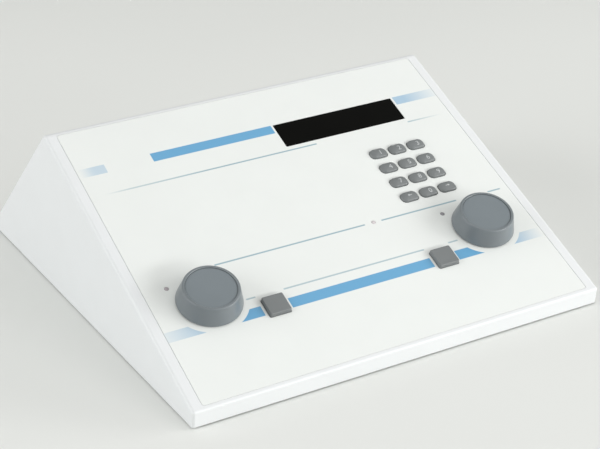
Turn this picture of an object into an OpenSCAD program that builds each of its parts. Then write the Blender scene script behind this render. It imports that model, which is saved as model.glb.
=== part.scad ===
// Desktop audiometer: a wedge-shaped console with a keypad, two large dials and two push buttons.
// X runs to the right, Y from the front lip to the rear and Z up.
// The origin is on the surface that the feet stand on, below the middle of the casing.

/* [Casing] */
// Width of the casing
body_w = 300; // [296:1:340]
// Depth of the casing, from the front lip to the rear lip
body_d = 393; // [380:1:420]
// Height of the front lip above the casing's lower edge
lip_h = 11.5; // [11:0.5:16]
// How far the front lip leans out over its foot
lip_lean = 3; // [0:0.5:4]
// Height of the rear lip above the casing's lower edge
rear_lip_h = 12; // [8:0.5:20]
// Slope of the control panel, in degrees
slope = 26.5; // [25:0.5:29]
// Wall of the casing
wall = 3; // [2.5:0.1:3.5]
// Wall of the control slope, round the panel
slope_wall = 6; // [5.5:0.1:7]
// Rounding of the long edges of the slopes
edge_r = 2; // [1:0.5:6]
// Rounding of the ridge
ridge_r = 7; // [1:0.5:9]
// Rounding of the front lip
lip_r = 1.5; // [1:0.5:5]
// Gap between the casing and the surface that it stands on
floor_gap = 1; // [1:0.1:3]

/* [Panel] */
// Width of the casing's rim at each side of the panel
rim_side = 7.8; // [6:0.2:10]
// Width of the rim in front of the panel
rim_front = 3; // [2:0.5:5]
// Width of the rim behind the panel
rim_rear = 4; // [4:0.5:6]
// Width of the ledge that the panel rests on
ledge_w = 8; // [7:0.5:9]
// Gap round the panel plate
panel_groove = 0.4; // [0.3:0.1:1.5]
// Gap round the printed film, which hides the gap round the plate
film_groove = 0.2; // [0.1:0.05:0.3]
// Thickness of the panel plate
plate_t = 2.6; // [2:0.1:3]
// Thickness of the printed film
film_t = 0.4; // [0.2:0.1:0.6]

/* [Display] */
// Distance of the display's middle from the casing's right side
display_edge = 93; // [86:1:110]
// Distance from the display's middle up to the ridge
display_drop = 52.7; // [48:0.1:60]
// Width of the display window
display_w = 97.6; // [80:0.1:100]
// Height of the display window
display_h = 23.1; // [16:0.1:24]

/* [Keypad] */
// Distance of the keypad's middle from the casing's right side
keypad_edge = 66.4; // [58:0.1:76]
// Distance from the keypad's middle up to the display's middle
display_rise = 62.1; // [58:0.1:70]
// Distance from the dials' axes up to the keypad's middle
keypad_rise = 63.7; // [61:0.1:70]
// Distance between the keys in a row
key_pitch_x = 15.5; // [15:0.1:17]
// Distance between the rows of keys
key_pitch_v = 15.2; // [14:0.1:15.2]
// Width of a key
key_w = 13.3; // [12:0.1:14.2]
// Depth of a key
key_d = 8.5; // [7:0.1:9]
// Height of a key's crown above the panel
key_h = 2.4; // [2:0.1:3]
// Radius of a key's crown
key_crown_r = 16; // [14:0.5:30]
// Travel of a key
key_travel = 1.2; // [0.5:0.1:1.4]

/* [Push buttons] */
// Side of a square push button
button_w = 15.4; // [12:0.1:16]
// Height of a push button above the panel
button_h = 3; // [2:0.1:4]
// Travel of a push button
button_travel = 1.5; // [0.5:0.1:2]
// Distance of the left push button from the left dial's axis
left_button_gap = 39; // [36:0.5:50]
// Distance of the right push button from the right dial's axis
right_button_gap = 42; // [36:0.5:50]
// Distance of the push buttons below the dials' axes
button_drop = 18; // [0:0.5:24]

/* [Dials] */
// Distance of each dial's axis from the casing's side
dial_edge = 46; // [44:0.5:52]
// Distance of the dials' axes up the slope
dial_v = 77.7; // [70:0.1:90]
// Diameter of a dial at its base
dial_base_d = 44; // [42:0.5:48]
// Diameter of a dial at its top
dial_top_d = 37.5; // [34:0.5:40]
// Height of a dial
dial_h = 13.2; // [11.5:0.1:16]
// Gap between a dial and the panel
dial_gap = 0.5; // [0.4:0.1:1.5]
// Diameter of a dial's shaft
shaft_d = 6; // [4:0.1:6.4]
// Diameter of the threaded bush that a shaft turns in
bush_d = 9; // [8.5:0.1:10]
// Radial clearance of a turning shaft
shaft_clear = 0.05; // [0.02:0.01:0.08]

/* [Rear] */
// Width of the connector plate
rear_plate_w = 209; // [205:1:220]
// Height of the connector plate
rear_plate_h = 43.4; // [42:0.1:48]
// Distance of the connector plate's middle up the rear slope
rear_plate_v = 52; // [46:1:60]
// Thickness of the connector plate
rear_plate_t = 1.5; // [1:0.1:1.8]
// Diameter of a phone jack's bore
jack_d = 6.5; // [6.4:0.05:6.6]
// Distance between the phone jacks
jack_pitch = 24; // [20:0.5:25]
// Angle that the power switch rocks through, in degrees
rocker_throw = 14; // [6:1:16]

/* [Base] */
// Thickness of the base plate
base_t = 3; // [2.8:0.1:3.4]
// Radius of a foot
foot_r = 8; // [6:0.5:10]
// How deep a foot sits in the base plate
foot_seat = 1.5; // [1:0.1:1.8]
// Width of the main board
main_board_w = 220; // [200:1:240]
// Depth of the main board
main_board_d = 140; // [130:1:150]
// Thickness of every circuit board
board_t = 1.6; // [1:0.1:2]

/* [Fits] */
// Clearance of a button or key in the panel
button_clear = 0.25; // [0.2:0.05:0.3]
// Clearance of a piece that is laid into a recess
seat_clear = 0.3; // [0.2:0.05:0.4]
// Radial clearance of a screw in its threaded hole
thread_clear = 0.05; // [0.02:0.01:0.08]
// Radius of a case or board screw
screw_r = 1.5; // [1.2:0.05:1.6]

/* [Hidden] */
$fn = 48;
function name_keys(names) = [for (name = names) str("key_", name)];
KEY_NAMES = ["1", "2", "3", "4", "5", "6", "7", "8", "9", "clear", "0", "enter"];

WHITE = [0.93, 0.94, 0.93];
GREY = [0.49, 0.51, 0.52];
BOARD_GREEN = [0.10, 0.36, 0.20];
STEEL = [0.72, 0.73, 0.74];
BLACK = [0.07, 0.07, 0.07];
MUCH = 500;            // longer than anything that is cut
CUT = 1;               // how far a cut runs past a face
weld = 0.5;            // how far two forms of one piece run into each other

// Places on the slope
dial_x = body_w / 2 - dial_edge;
left_button_x = left_button_gap - dial_x;
right_button_x = dial_x - right_button_gap;
button_v = dial_v - button_drop;
keypad_x = body_w / 2 - keypad_edge;
keypad_v = dial_v + keypad_rise;
display_x = body_w / 2 - display_edge;
display_v = keypad_v + display_rise;
slope_len = display_v + display_drop;

// The casing's side outline, in depth from the lip and height above its lower edge
ridge_y = slope_len * cos(slope);
ridge_z = lip_h + slope_len * sin(slope);
rear_slope = atan((ridge_z - rear_lip_h) / (body_d - ridge_y));
OUTLINE = [[lip_lean, 0], [0, lip_h], [ridge_y, ridge_z], [body_d, rear_lip_h], [body_d, 0]];
OUTLINE_RADII = [0, lip_r, ridge_r, lip_r, 0];
// Walls of the lip, the control slope, the rear slope and the rear lip; the bottom is open
WALLS = [wall, slope_wall, wall, wall, -CUT];
plate_clear = [for (w = WALLS) w + seat_clear];
lip_front = arc_middle(OUTLINE, OUTLINE_RADII, 1)[0] - lip_r;
mid_y = (body_d + lip_front) / 2;

// Depths below the panel's surface
recess_d = film_t + plate_t;
recess_corner = 2;
recess_v0 = rim_front;
recess_v1 = slope_len - rim_rear;
window_x = body_w / 2 - rim_side - ledge_w;
window_v0 = recess_v0 + ledge_w;
window_v1 = recess_v1 - ledge_w;
flange_gap = 0.3;      // between a key's flange and the plate, at rest
flange_t = 1;
key_flange = 1.25;     // how far a key's flange reaches past the key
button_flange = 1.4;
flange_bottom = recess_d + flange_gap + flange_t;

// Key switches
key_stem_r = 2;
key_stem_len = 2.7;
switch_w = 12;
key_well_clear = 0.3;
stop_gap = 0.5;        // left under a flange or a stem at the end of its travel
stem_in_switch = 1.2;  // how far a button's stem reaches into its switch, at rest
key_switch_top = flange_bottom + key_travel + stop_gap;
key_well_d = key_stem_len - stop_gap + 0.7;
key_switch_h = key_well_d + 1.7;
keypad_board_n = key_switch_top + key_switch_h;
keypad_columns = 3;
keypad_rows = 4;
keypad_board_w = keypad_columns * key_pitch_x + 12;
keypad_board_d = keypad_rows * key_pitch_v;
keypad_spacer_r = 2.4;
keypad_post_edge = keypad_spacer_r + 0.5;
keypad_post_x = keypad_board_w / 2 - keypad_post_edge;
keypad_post_v = keypad_board_d / 2 - keypad_post_edge;

// Dials and encoders
nut_t = 2.4;
nut_across = 12;
bush_len = 5.6;        // above the panel
encoder_w = 25;
encoder_depth = 13;
control_board_n = recess_d + encoder_depth;
cap_recess = 1.6;
cap_t = 0.8;
shaft_cover = 0.4;     // left between the shaft's end and the cap
shaft_top = dial_gap + dial_h - cap_recess - shaft_cover;
shaft_end_gap = 0.2;
shaft_bottom = control_board_n - 2;
knob_bore_clear = 0.02;
cap_rim = 2;           // of the dial, round its cap
cap_r = dial_top_d / 2 - cap_rim;
cap_clear = 0.15;
hub_recess_r = nut_across / 2 / cos(30) + 2;
hub_recess_top = bush_len + 0.6;

// Push buttons
button_corner = 1;
button_hole_corner = button_corner + 0.2;
button_stem_r = 3;
button_stem_len = 5.5;
button_switch_top = flange_bottom + button_stem_len - stem_in_switch;
button_well_d = stem_in_switch + button_travel + stop_gap;

// Control board
board_margin = 3.5;    // from what a board carries to its edge
led_left = 21.6;       // from the dial's axis to the lamp on its left
led_rise = 18.9;
centre_led_left = 72;  // from the right dial's axis
centre_led_rise = 27.5;
led_r = 1.5;
led_flange = 0.4;
led_clear = 0.1;
led_proud = 0.3;
led_spots = [
    [-dial_x - led_left, dial_v + led_rise],
    [dial_x - led_left, dial_v + led_rise],
    [dial_x - centre_led_left, dial_v + centre_led_rise]];
control_v0 = button_v - button_w / 2 - button_flange - board_margin;
control_v1 = dial_v + centre_led_rise + board_margin;
control_w = 2 * (dial_x + led_left + board_margin);
control_spacer_r = 3;
control_post_edge = control_spacer_r + 1;
control_post_step = 8; // how much nearer the middle the rear posts are, clear of the lamps
control_posts = [for (x = [-1, 0, 1], rear = [0, 1])
    [x * (control_w / 2 - control_post_edge - rear * control_post_step),
    rear > 0 ? control_v1 - control_post_edge : control_v0 + control_post_edge]];

// Display
display_corner = 0.6;
display_hole_corner = display_corner + 0.2;
display_sunk = 0.1;    // the window's face below the film's
display_rear = 0.5;    // from the plate's back to the window's back
display_flange = 2.6;
display_flange_t = 1;
display_gap = 1;       // between the window's flange and the bezel
bezel_rim = 1;
bezel_w = display_w + 8.4;
bezel_h = display_h + 8.9;
bezel_depth = 8;
bezel_view_w = display_w - 1.6;
bezel_view_h = display_h - 2.1;
display_board_n = recess_d + display_flange_t + display_gap + bezel_depth;
display_spacer_r = 3;
display_post_x = bezel_w / 2 + display_spacer_r + 1;
display_post_v = bezel_h / 2 + 1;
display_board_w = 2 * (display_post_x + display_spacer_r + 1);
display_board_h = 2 * (display_post_v + display_spacer_r + 1);

// Studs behind the panel
stud_r = 2;
stud_nut_t = 3.2;
stud_tip = 1.5;        // past the nut
stud_nut_across = 7;
stud_x = body_w / 2 - rim_side - ledge_w / 2;
stud_spots = [for (side = [-1, 1], share = [0.075, 0.35, 0.64, 0.93])
    [side * stud_x, recess_v0 + share * (recess_v1 - recess_v0)]];

// Screws, bosses and feet
board_hole_clear = 0.1;
spacer_blind = 1;      // left at the plate's end of a spacer
spacer_bite = 6;       // how far a screw reaches into a spacer
key_spacer_bite = 4.5;
post_bite = 5;
head_r = 2.8;
head_t = 1.7;
boss_r = 5.5;
boss_h = 16;
boss_x = body_w / 2 - wall - boss_r + weld;
boss_end = 44;         // from the casing's ends
boss_ys = [boss_end, body_d / 2, body_d - boss_end];
screw_len = 10;
screw_short = 1;       // left under the tip of a case screw
foot_edge = 25;        // from the casing's sides
foot_end = 32;         // from its ends
foot_x = body_w / 2 - foot_edge;
foot_ys = [foot_end, body_d - foot_end];
foot_clear = 0.2;
main_board_y = 0.52 * body_d;
main_boss_h = 6;
main_boss_r = 3.5;
main_post_edge = 6;
main_post_x = main_board_w / 2 - main_post_edge;
main_post_y = main_board_d / 2 - main_post_edge;
base_top = floor_gap + base_t;
main_top = base_top + main_boss_h + board_t;

// Connectors, along the rear plate as seen from behind
rear_ledge_side = 10;
rear_ledge_end = 4;
rear_screw_x = rear_plate_w / 2 - rear_ledge_side / 2;
rear_screw_end = 6;
rear_screw_v = rear_plate_h / 2 - rear_screw_end;
rear_boss_r = 4;
rear_boss_len = 7;
rear_screw_short = 2;  // left under the tip of a screw
rear_clear = 0.2;      // round whatever passes through the plate
jack_bush_r = 5.5;
jack_body_w = 18;
jack_body_h = 22;
jack_body_len = 22;
jack_bush_len = 3;
jack_nut_r = 8;
jack_nut_t = 2.2;
jack_bore_len = 24;
jack_count = 4;
jack_gap = 3;          // from the plate's ledge
jack_x0 = -rear_plate_w / 2 + rear_ledge_side + jack_body_w / 2 + jack_gap;
jack_xs = [for (i = [0:jack_count - 1]) jack_x0 + i * jack_pitch];
port_w = 31;
port_gap = 7.5;        // from the last jack
port_x = jack_xs[jack_count - 1] + jack_body_w / 2 + port_gap + port_w / 2;
port_h = 12.5;
port_depth = 10;
shell_w = 18.5;
shell_h = 9.5;
shell_len = 5;
shell_wall = 0.7;
shell_corner = 1.5;
shell_clear = 0.5;
shell_well = 1;        // how deep the socket's face lies inside its shell
inlet_w = 14;
inlet_gap = 5;         // from the port
inlet_x = port_x + port_w / 2 + inlet_gap + inlet_w / 2;
inlet_r = 5.5;
inlet_proud = 1.5;
inlet_hole_r = 3.2;
inlet_hole_d = 9;
inlet_pin_r = 1;
inlet_pin_top = 1;
switch_body_w = 19.2;
switch_gap = 9.4;      // from the inlet
switch_x = inlet_x + inlet_w / 2 + switch_gap + switch_body_w / 2;
switch_body_h = 16;
switch_depth = 18;
switch_rim = 1;
switch_rim_t = 1.5;
rocker_w = 14.4;
rocker_h = 9;
rocker_gap = 0.8;
rocker_pivot = -1;
rocker_pin_r = 1.2;
rocker_pin_len = 1.5;  // of each pin
rocker_well_d = 7;
rocker_low = -3.5;
rocker_high = 2.4;
rocker_mid = 1.2;

// Helpers ---------------------------------------------------------------------------------------

// Unit vector from a to b
function towards(a, b) = (b - a) / norm(b - a);
// Inward normal of the edge from a to b, for an outline that runs clockwise
function inward(a, b) = let (d = towards(a, b)) [d[1], -d[0]];
// Corner b of an outline, with the edge a-b moved in by d1 and the edge b-c by d2
function moved_corner(a, b, c, d1, d2) =
    let (m = inward(a, b), n = inward(b, c), s = m[0] * n[1] - m[1] * n[0])
    b + [d1 * n[1] - d2 * m[1], d2 * m[0] - d1 * n[0]] / s;
// An outline with each edge moved in by its own distance
function inset(points, distances) = let (count = len(points))
    [for (i = [0:count - 1]) moved_corner(
        points[(i + count - 1) % count], points[i], points[(i + 1) % count],
        distances[(i + count - 1) % count], distances[i])];

// Unit vectors from corner i of an outline to the corners before and after it
function sides(points, i) = let (count = len(points))
    [towards(points[i], points[(i + count - 1) % count]), towards(points[i], points[(i + 1) % count])];
// Half of the angle between two unit vectors
function half_angle(pair) = acos(pair[0] * pair[1]) / 2;
// Middle of the arc that rounds corner i
function arc_middle(points, radii, i) = let (pair = sides(points, i))
    points[i] + towards([0, 0], pair[0] + pair[1]) * radii[i] / sin(half_angle(pair));

// An outline with its corners rounded by true arcs
module rounded_outline(points, radii) {
    last = len(points) - 1;
    polygon([for (i = [0:last], side = sides(points, i))
        points[i] + side * radii[i] / tan(half_angle(sides(points, i)))]);
    for (i = [0:last])
        if (radii[i] > 0)
            translate(arc_middle(points, radii, i))
                circle(r = radii[i]);
}

// A flat rectangle with round corners, centred
module rounded_rect(w, h, r) {
    square([w - 2 * r, h], center = true);
    square([w, h - 2 * r], center = true);
    for (x = [-1, 1], y = [-1, 1])
        translate([x * (w / 2 - r), y * (h / 2 - r)])
            circle(r = r);
}

// A block with round upright corners, from one height to another
module rounded_block(w, h, r, low, high) {
    translate([0, 0, low])
        linear_extrude(high - low)
            rounded_rect(w, h, r);
}

// A plain block centred in plan, from one height to another
module block(w, h, low, high) {
    translate([-w / 2, -h / 2, low])
        cube([w, h, high - low]);
}

// A round bar, from one height to another
module bar(r, low, high) {
    translate([0, 0, low])
        cylinder(r = r, h = high - low);
}

// Puts its children on the control slope: x across, y up the slope, z out of the panel
module on_slope() {
    translate([0, -mid_y, floor_gap + lip_h])
        rotate([slope, 0, 0])
            children();
}

// Puts its children on the rear slope, seen from behind: x across, y up the slope, z outwards
module on_rear() {
    translate([0, body_d - mid_y, floor_gap + rear_lip_h])
        rotate([0, 0, 180])
            rotate([rear_slope, 0, 0])
                translate([0, rear_plate_v, 0])
                    children();
}

// A side outline drawn out across the width
module across(w) {
    translate([0, -mid_y, floor_gap])
        rotate([90, 0, 90])
            linear_extrude(w, center = true)
                children();
}

// A long bar with rounded upper edges, whose top is the plane z = 0
module edge_prism() {
    rotate([90, 0, 0])
        linear_extrude(2 * MUCH, center = true)
            union() {
                translate([-body_w / 2, -MUCH])
                    square([body_w, MUCH - edge_r]);
                translate([-body_w / 2 + edge_r, -MUCH])
                    square([body_w - 2 * edge_r, MUCH]);
                for (side = [-1, 1])
                    translate([side * (body_w / 2 - edge_r), -edge_r])
                        circle(r = edge_r);
            }
}

// A screw with a round head on z = 0 and its shank pointing down
module screw(length) {
    bar(head_r, 0, head_t);
    bar(screw_r - thread_clear, -length, 0);
}

// Places of the posts of a board, from half its width and half its height
module at_corners(x, y) {
    for (sx = [-1, 1], sy = [-1, 1])
        translate([sx * x, sy * y, 0])
            children();
}

module at_main_posts() {
    translate([0, main_board_y - mid_y, 0])
        at_corners(main_post_x, main_post_y)
            children();
}

module at_base_screws() {
    for (side = [-1, 1], y = boss_ys)
        translate([side * boss_x, y - mid_y, 0])
            children();
}

module at_feet() {
    for (side = [-1, 1], y = foot_ys)
        translate([side * foot_x, y - mid_y, 0])
            children();
}

module at_studs() {
    for (spot = stud_spots)
        translate([spot[0], spot[1], 0])
            children();
}

module at_dials() {
    for (side = [-1, 1])
        translate([side * dial_x, dial_v, 0])
            children();
}

module at_buttons() {
    for (x = [left_button_x, right_button_x])
        translate([x, button_v, 0])
            children();
}

module at_keys() {
    for (i = [0:len(KEY_NAMES) - 1])
        at_key(i)
            children();
}

// Place of one key, counted from the left of the top row
module at_key(i) {
    column = i % keypad_columns - (keypad_columns - 1) / 2;
    row = (keypad_rows - 1) / 2 - floor(i / keypad_columns);
    translate([keypad_x + column * key_pitch_x, keypad_v + row * key_pitch_v, 0])
        children();
}

module at_leds() {
    for (spot = led_spots)
        translate([spot[0], spot[1], 0])
            children();
}

module at_control_posts() {
    for (spot = control_posts)
        translate([spot[0], spot[1], 0])
            children();
}

module at_display() {
    translate([display_x, display_v, 0])
        children();
}

module at_keypad() {
    translate([keypad_x, keypad_v, 0])
        children();
}

module at_rear_screws() {
    at_corners(rear_screw_x, rear_screw_v)
        children();
}

module at_jacks() {
    for (x = jack_xs)
        translate([x, 0, 0])
            children();
}

// Casing ----------------------------------------------------------------------------------------

module upper_casing() {
    color(WHITE)
        difference() {
            union() {
                difference() {
                    casing_body();
                    across(body_w - 2 * wall)
                        polygon(inset(OUTLINE, WALLS));
                }
                base_bosses();
                on_rear()
                    at_rear_screws()
                        bar(rear_boss_r, -wall - rear_boss_len, -wall + weld);
            }
            on_slope()
                panel_recess();
            on_rear()
                rear_recess();
            at_base_screws()
                bar(screw_r, base_top - CUT, base_top + screw_len);
        }
}

// The outer shape of the casing, with its long edges rounded
module casing_body() {
    intersection() {
        across(body_w)
            rounded_outline(OUTLINE, OUTLINE_RADII);
        on_slope()
            edge_prism();
        on_rear()
            edge_prism();
    }
}

// Screw bosses down the insides of the side walls
module base_bosses() {
    at_base_screws()
        bar(boss_r, base_top, base_top + boss_h);
}

// Seat of the panel, the opening inside its ledge and the holes for its studs
module panel_recess() {
    panel_sheet(0, -recess_d, CUT);
    translate([0, (window_v0 + window_v1) / 2, 0])
        block(2 * window_x, window_v1 - window_v0, -slope_wall - CUT, 0);
    at_studs()
        bar(stud_r + seat_clear, -slope_wall - CUT, 0);
}

// Seat of the connector plate, the opening inside its ledge and its screw holes
module rear_recess() {
    block(rear_plate_w + 2 * seat_clear, rear_plate_h + 2 * seat_clear, -rear_plate_t, CUT);
    block(rear_plate_w - 2 * rear_ledge_side, rear_plate_h - 2 * rear_ledge_end, -wall - CUT, 0);
    at_rear_screws()
        bar(screw_r, -wall - rear_boss_len - CUT, 0);
}

module base_plate() {
    color(WHITE)
        difference() {
            union() {
                intersection() {
                    across(body_w - 2 * (wall + seat_clear))
                        polygon(inset(OUTLINE, plate_clear));
                    block(body_w, 2 * body_d, floor_gap, base_top);
                }
                at_main_posts()
                    bar(main_boss_r, base_top - weld, base_top + main_boss_h);
            }
            at_base_screws()
                base_screw_hole();
            at_feet()
                bar(foot_r + foot_clear, floor_gap - CUT, floor_gap + foot_seat);
            at_main_posts()
                bar(screw_r, floor_gap + CUT, base_top + main_boss_h + CUT);
        }
}

// A clearance hole with a counterbore for the head
module base_screw_hole() {
    bar(screw_r + seat_clear, floor_gap - CUT, base_top + CUT);
    bar(head_r + seat_clear, floor_gap - CUT, floor_gap + head_t);
}

module base_screws() {
    color(STEEL)
        at_base_screws()
            translate([0, 0, floor_gap + head_t])
                mirror([0, 0, 1])
                    screw(base_t - head_t + screw_len - screw_short);
}

module rubber_feet() {
    color(BLACK)
        at_feet()
            bar(foot_r, 0, floor_gap + foot_seat);
}

// Panel -----------------------------------------------------------------------------------------

module front_panel() {
    color(STEEL)
        on_slope() {
            difference() {
                panel_sheet(panel_groove, -recess_d, -film_t);
                panel_holes();
            }
            at_studs()
                bar(stud_r, -slope_wall - stud_nut_t - stud_tip, -recess_d + weld);
        }
}

module panel_film() {
    color(WHITE)
        on_slope()
            difference() {
                panel_sheet(film_groove, -film_t, 0);
                panel_holes();
            }
}

// The panel's plan inside a gap all round, from one depth to another
module panel_sheet(gap, low, high) {
    translate([0, (recess_v0 + recess_v1) / 2, 0])
        rounded_block(body_w - 2 * (rim_side + gap), recess_v1 - recess_v0 - 2 * gap,
            recess_corner - gap, low, high);
}

// Every hole through the plate and its film
module panel_holes() {
    at_display()
        rounded_block(display_w + 2 * button_clear, display_h + 2 * button_clear, display_hole_corner,
            -MUCH, MUCH);
    at_keys()
        rounded_block(key_w + 2 * button_clear, key_d + 2 * button_clear, key_corner(), -MUCH, MUCH);
    at_buttons()
        rounded_block(button_w + 2 * button_clear, button_w + 2 * button_clear, button_hole_corner,
            -MUCH, MUCH);
    at_dials()
        bar(bush_d / 2 + thread_clear, -MUCH, MUCH);
    at_leds()
        bar(led_r + led_clear, -MUCH, MUCH);
}

module panel_nuts() {
    color(STEEL)
        on_slope()
            at_studs()
                difference() {
                    translate([0, 0, -slope_wall - stud_nut_t])
                        cylinder(r = stud_nut_across / 2 / cos(30), h = stud_nut_t, $fn = 6);
                    bar(stud_r + thread_clear, -MUCH, MUCH);
                }
}

// Display ---------------------------------------------------------------------------------------

module display_window() {
    color(BLACK)
        on_slope()
            at_display() {
                rounded_block(display_w, display_h, display_corner,
                    -recess_d - display_rear, -display_sunk);
                block(display_w + 2 * display_flange, display_h + 2 * display_flange,
                    -recess_d - display_flange_t, -recess_d);
            }
}

module display_bezel() {
    top = recess_d + display_flange_t + display_gap;
    color(STEEL)
        on_slope()
            at_display()
                difference() {
                    block(bezel_w, bezel_h, -display_board_n, -top);
                    block(bezel_w - 2 * bezel_rim, bezel_h - 2 * bezel_rim, -MUCH, -top - bezel_rim);
                    block(bezel_view_w, bezel_view_h, -MUCH, MUCH);
                }
}

module display_glass() {
    top = recess_d + display_flange_t + display_gap + bezel_rim;
    side = 2 * (bezel_rim + seat_clear);
    color(GREY)
        on_slope()
            at_display()
                block(bezel_w - side, bezel_h - side, -display_board_n, -top - seat_clear);
}

module display_board() {
    color(BOARD_GREEN)
        on_slope()
            at_display()
                difference() {
                    block(display_board_w, display_board_h, -display_board_n - board_t, -display_board_n);
                    at_corners(display_post_x, display_post_v)
                        bar(screw_r + board_hole_clear, -MUCH, MUCH);
                }
}

module display_spacers() {
    color(STEEL)
        on_slope()
            at_display()
                at_corners(display_post_x, display_post_v)
                    spacer(display_spacer_r, display_board_n);
}

// A tapped post from the back of the plate to the front of a board
module spacer(r, board_n) {
    difference() {
        bar(r, -board_n, -recess_d);
        bar(screw_r, -board_n - CUT, -recess_d - spacer_blind);
    }
}

// A screw from behind a board into its spacer
module board_screw(board_n, length) {
    translate([0, 0, -board_n - board_t])
        mirror([0, 0, 1])
            screw(length);
}

module display_screws() {
    color(STEEL)
        on_slope()
            at_display()
                at_corners(display_post_x, display_post_v)
                    board_screw(display_board_n, board_t + spacer_bite);
}

// Keypad ----------------------------------------------------------------------------------------

function key_corner() = min(key_w, key_d) / 2 - 0.75;

// One key: a crowned cap, a flange that keeps it behind the plate and a stem
module key(i) {
    color(GREY)
        on_slope()
            at_key(i) {
                intersection() {
                    rounded_block(key_w, key_d, key_corner(), -flange_bottom, key_h);
                    translate([0, 0, key_h - key_crown_r])
                        sphere(r = key_crown_r);
                }
                block(key_w - 1, key_d + 2 * key_flange, -flange_bottom, -flange_bottom + flange_t);
                bar(key_stem_r, -flange_bottom - key_stem_len, -flange_bottom + weld);
            }
}

module key_switches() {
    color(BLACK)
        on_slope()
            at_keys()
                difference() {
                    block(switch_w, switch_w, -keypad_board_n, -key_switch_top);
                    bar(key_stem_r + key_well_clear, -key_switch_top - key_well_d, MUCH);
                }
}

module keypad_board() {
    color(BOARD_GREEN)
        on_slope()
            at_keypad()
                difference() {
                    block(keypad_board_w, keypad_board_d, -keypad_board_n - board_t, -keypad_board_n);
                    at_corners(keypad_post_x, keypad_post_v)
                        bar(screw_r + board_hole_clear, -MUCH, MUCH);
                }
}

module keypad_spacers() {
    color(STEEL)
        on_slope()
            at_keypad()
                at_corners(keypad_post_x, keypad_post_v)
                    spacer(keypad_spacer_r, keypad_board_n);
}

module keypad_screws() {
    color(STEEL)
        on_slope()
            at_keypad()
                at_corners(keypad_post_x, keypad_post_v)
                    board_screw(keypad_board_n, board_t + key_spacer_bite);
}

// Push buttons ----------------------------------------------------------------------------------

// One push button: a square cap, a flange behind the plate and a stem
module push_button(x) {
    flange_w = button_w + 2 * button_flange;
    color(GREY)
        on_slope()
            translate([x, button_v, 0]) {
                rounded_block(button_w, button_w, button_corner, -flange_bottom, button_h);
                block(flange_w, flange_w, -flange_bottom, -flange_bottom + flange_t);
                bar(button_stem_r, -flange_bottom - button_stem_len, -flange_bottom + weld);
            }
}

module left_button() push_button(left_button_x);
module right_button() push_button(right_button_x);

module button_switches() {
    color(BLACK)
        on_slope()
            at_buttons()
                difference() {
                    block(switch_w, switch_w, -control_board_n, -button_switch_top);
                    bar(button_stem_r + key_well_clear, -button_switch_top - button_well_d, MUCH);
                }
}

// Dials -----------------------------------------------------------------------------------------

// One dial: a tapered knob with a hub and a recess for its cap
module knob(side) {
    top = dial_gap + dial_h;
    color(GREY)
        on_slope()
            translate([side * dial_x, dial_v, 0])
                difference() {
                    translate([0, 0, dial_gap])
                        cylinder(r1 = dial_base_d / 2, r2 = dial_top_d / 2, h = dial_h);
                    bar(hub_recess_r, -CUT, hub_recess_top);
                    bar(shaft_d / 2 + knob_bore_clear, 0, shaft_top);
                    bar(cap_r + cap_clear, top - cap_recess, top + CUT);
                }
}

module knob_cap(side) {
    top = dial_gap + dial_h;
    color(GREY)
        on_slope()
            translate([side * dial_x, dial_v, 0])
                bar(cap_r, top - cap_recess, top - cap_recess + cap_t);
}

module encoder_shaft(side) {
    color(STEEL)
        on_slope()
            translate([side * dial_x, dial_v, 0])
                bar(shaft_d / 2, -shaft_bottom, shaft_top);
}

// A housing behind the plate, with a threaded bush through it
module encoder(side) {
    color(BLACK)
        on_slope()
            translate([side * dial_x, dial_v, 0])
                difference() {
                    union() {
                        block(encoder_w, encoder_w, -control_board_n, -recess_d);
                        bar(bush_d / 2, -recess_d - weld, bush_len);
                    }
                    bar(shaft_d / 2 + shaft_clear, -shaft_bottom - shaft_end_gap, MUCH);
                }
}

module left_knob() knob(-1);
module right_knob() knob(1);
module left_knob_cap() knob_cap(-1);
module right_knob_cap() knob_cap(1);
module left_encoder_shaft() encoder_shaft(-1);
module right_encoder_shaft() encoder_shaft(1);
module left_encoder() encoder(-1);
module right_encoder() encoder(1);

module encoder_nuts() {
    color(STEEL)
        on_slope()
            at_dials()
                difference() {
                    cylinder(r = nut_across / 2 / cos(30), h = nut_t, $fn = 6);
                    bar(bush_d / 2 + thread_clear, -CUT, MUCH);
                }
}

// Control board ---------------------------------------------------------------------------------

module indicator_leds() {
    color([0.55, 0.56, 0.55])
        on_slope()
            at_leds() {
                bar(led_r, -control_board_n, led_proud);
                bar(led_r + led_flange, -control_board_n, -control_board_n + 2 * led_flange);
            }
}

module control_board() {
    mid = (control_v0 + control_v1) / 2;
    color(BOARD_GREEN)
        on_slope()
            difference() {
                translate([0, mid, 0])
                    block(control_w, control_v1 - control_v0, -control_board_n - board_t, -control_board_n);
                at_control_posts()
                    bar(screw_r + board_hole_clear, -MUCH, MUCH);
            }
}

module control_spacers() {
    color(STEEL)
        on_slope()
            at_control_posts()
                spacer(control_spacer_r, control_board_n);
}

module control_screws() {
    color(STEEL)
        on_slope()
            at_control_posts()
                board_screw(control_board_n, board_t + spacer_bite);
}

// Main board ------------------------------------------------------------------------------------

module main_board() {
    board_z = base_top + main_boss_h;
    color(BOARD_GREEN)
        difference() {
            translate([0, main_board_y - mid_y, 0])
                block(main_board_w, main_board_d, board_z, board_z + board_t);
            at_main_posts()
                bar(screw_r + board_hole_clear, board_z - CUT, board_z + board_t + CUT);
        }
}

module main_board_screws() {
    color(STEEL)
        at_main_posts()
            translate([0, 0, main_top])
                screw(board_t + post_bite);
}

// Chips as [x, y, width, depth, height], from the middle of the main board's left end
CHIPS = [
    [80, 12, 24, 24, 3], [124, 20, 34, 10, 3.4], [124, -6, 26, 9, 3.4],
    [168, 24, 18, 8, 3], [168, 4, 18, 8, 3]];
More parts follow.
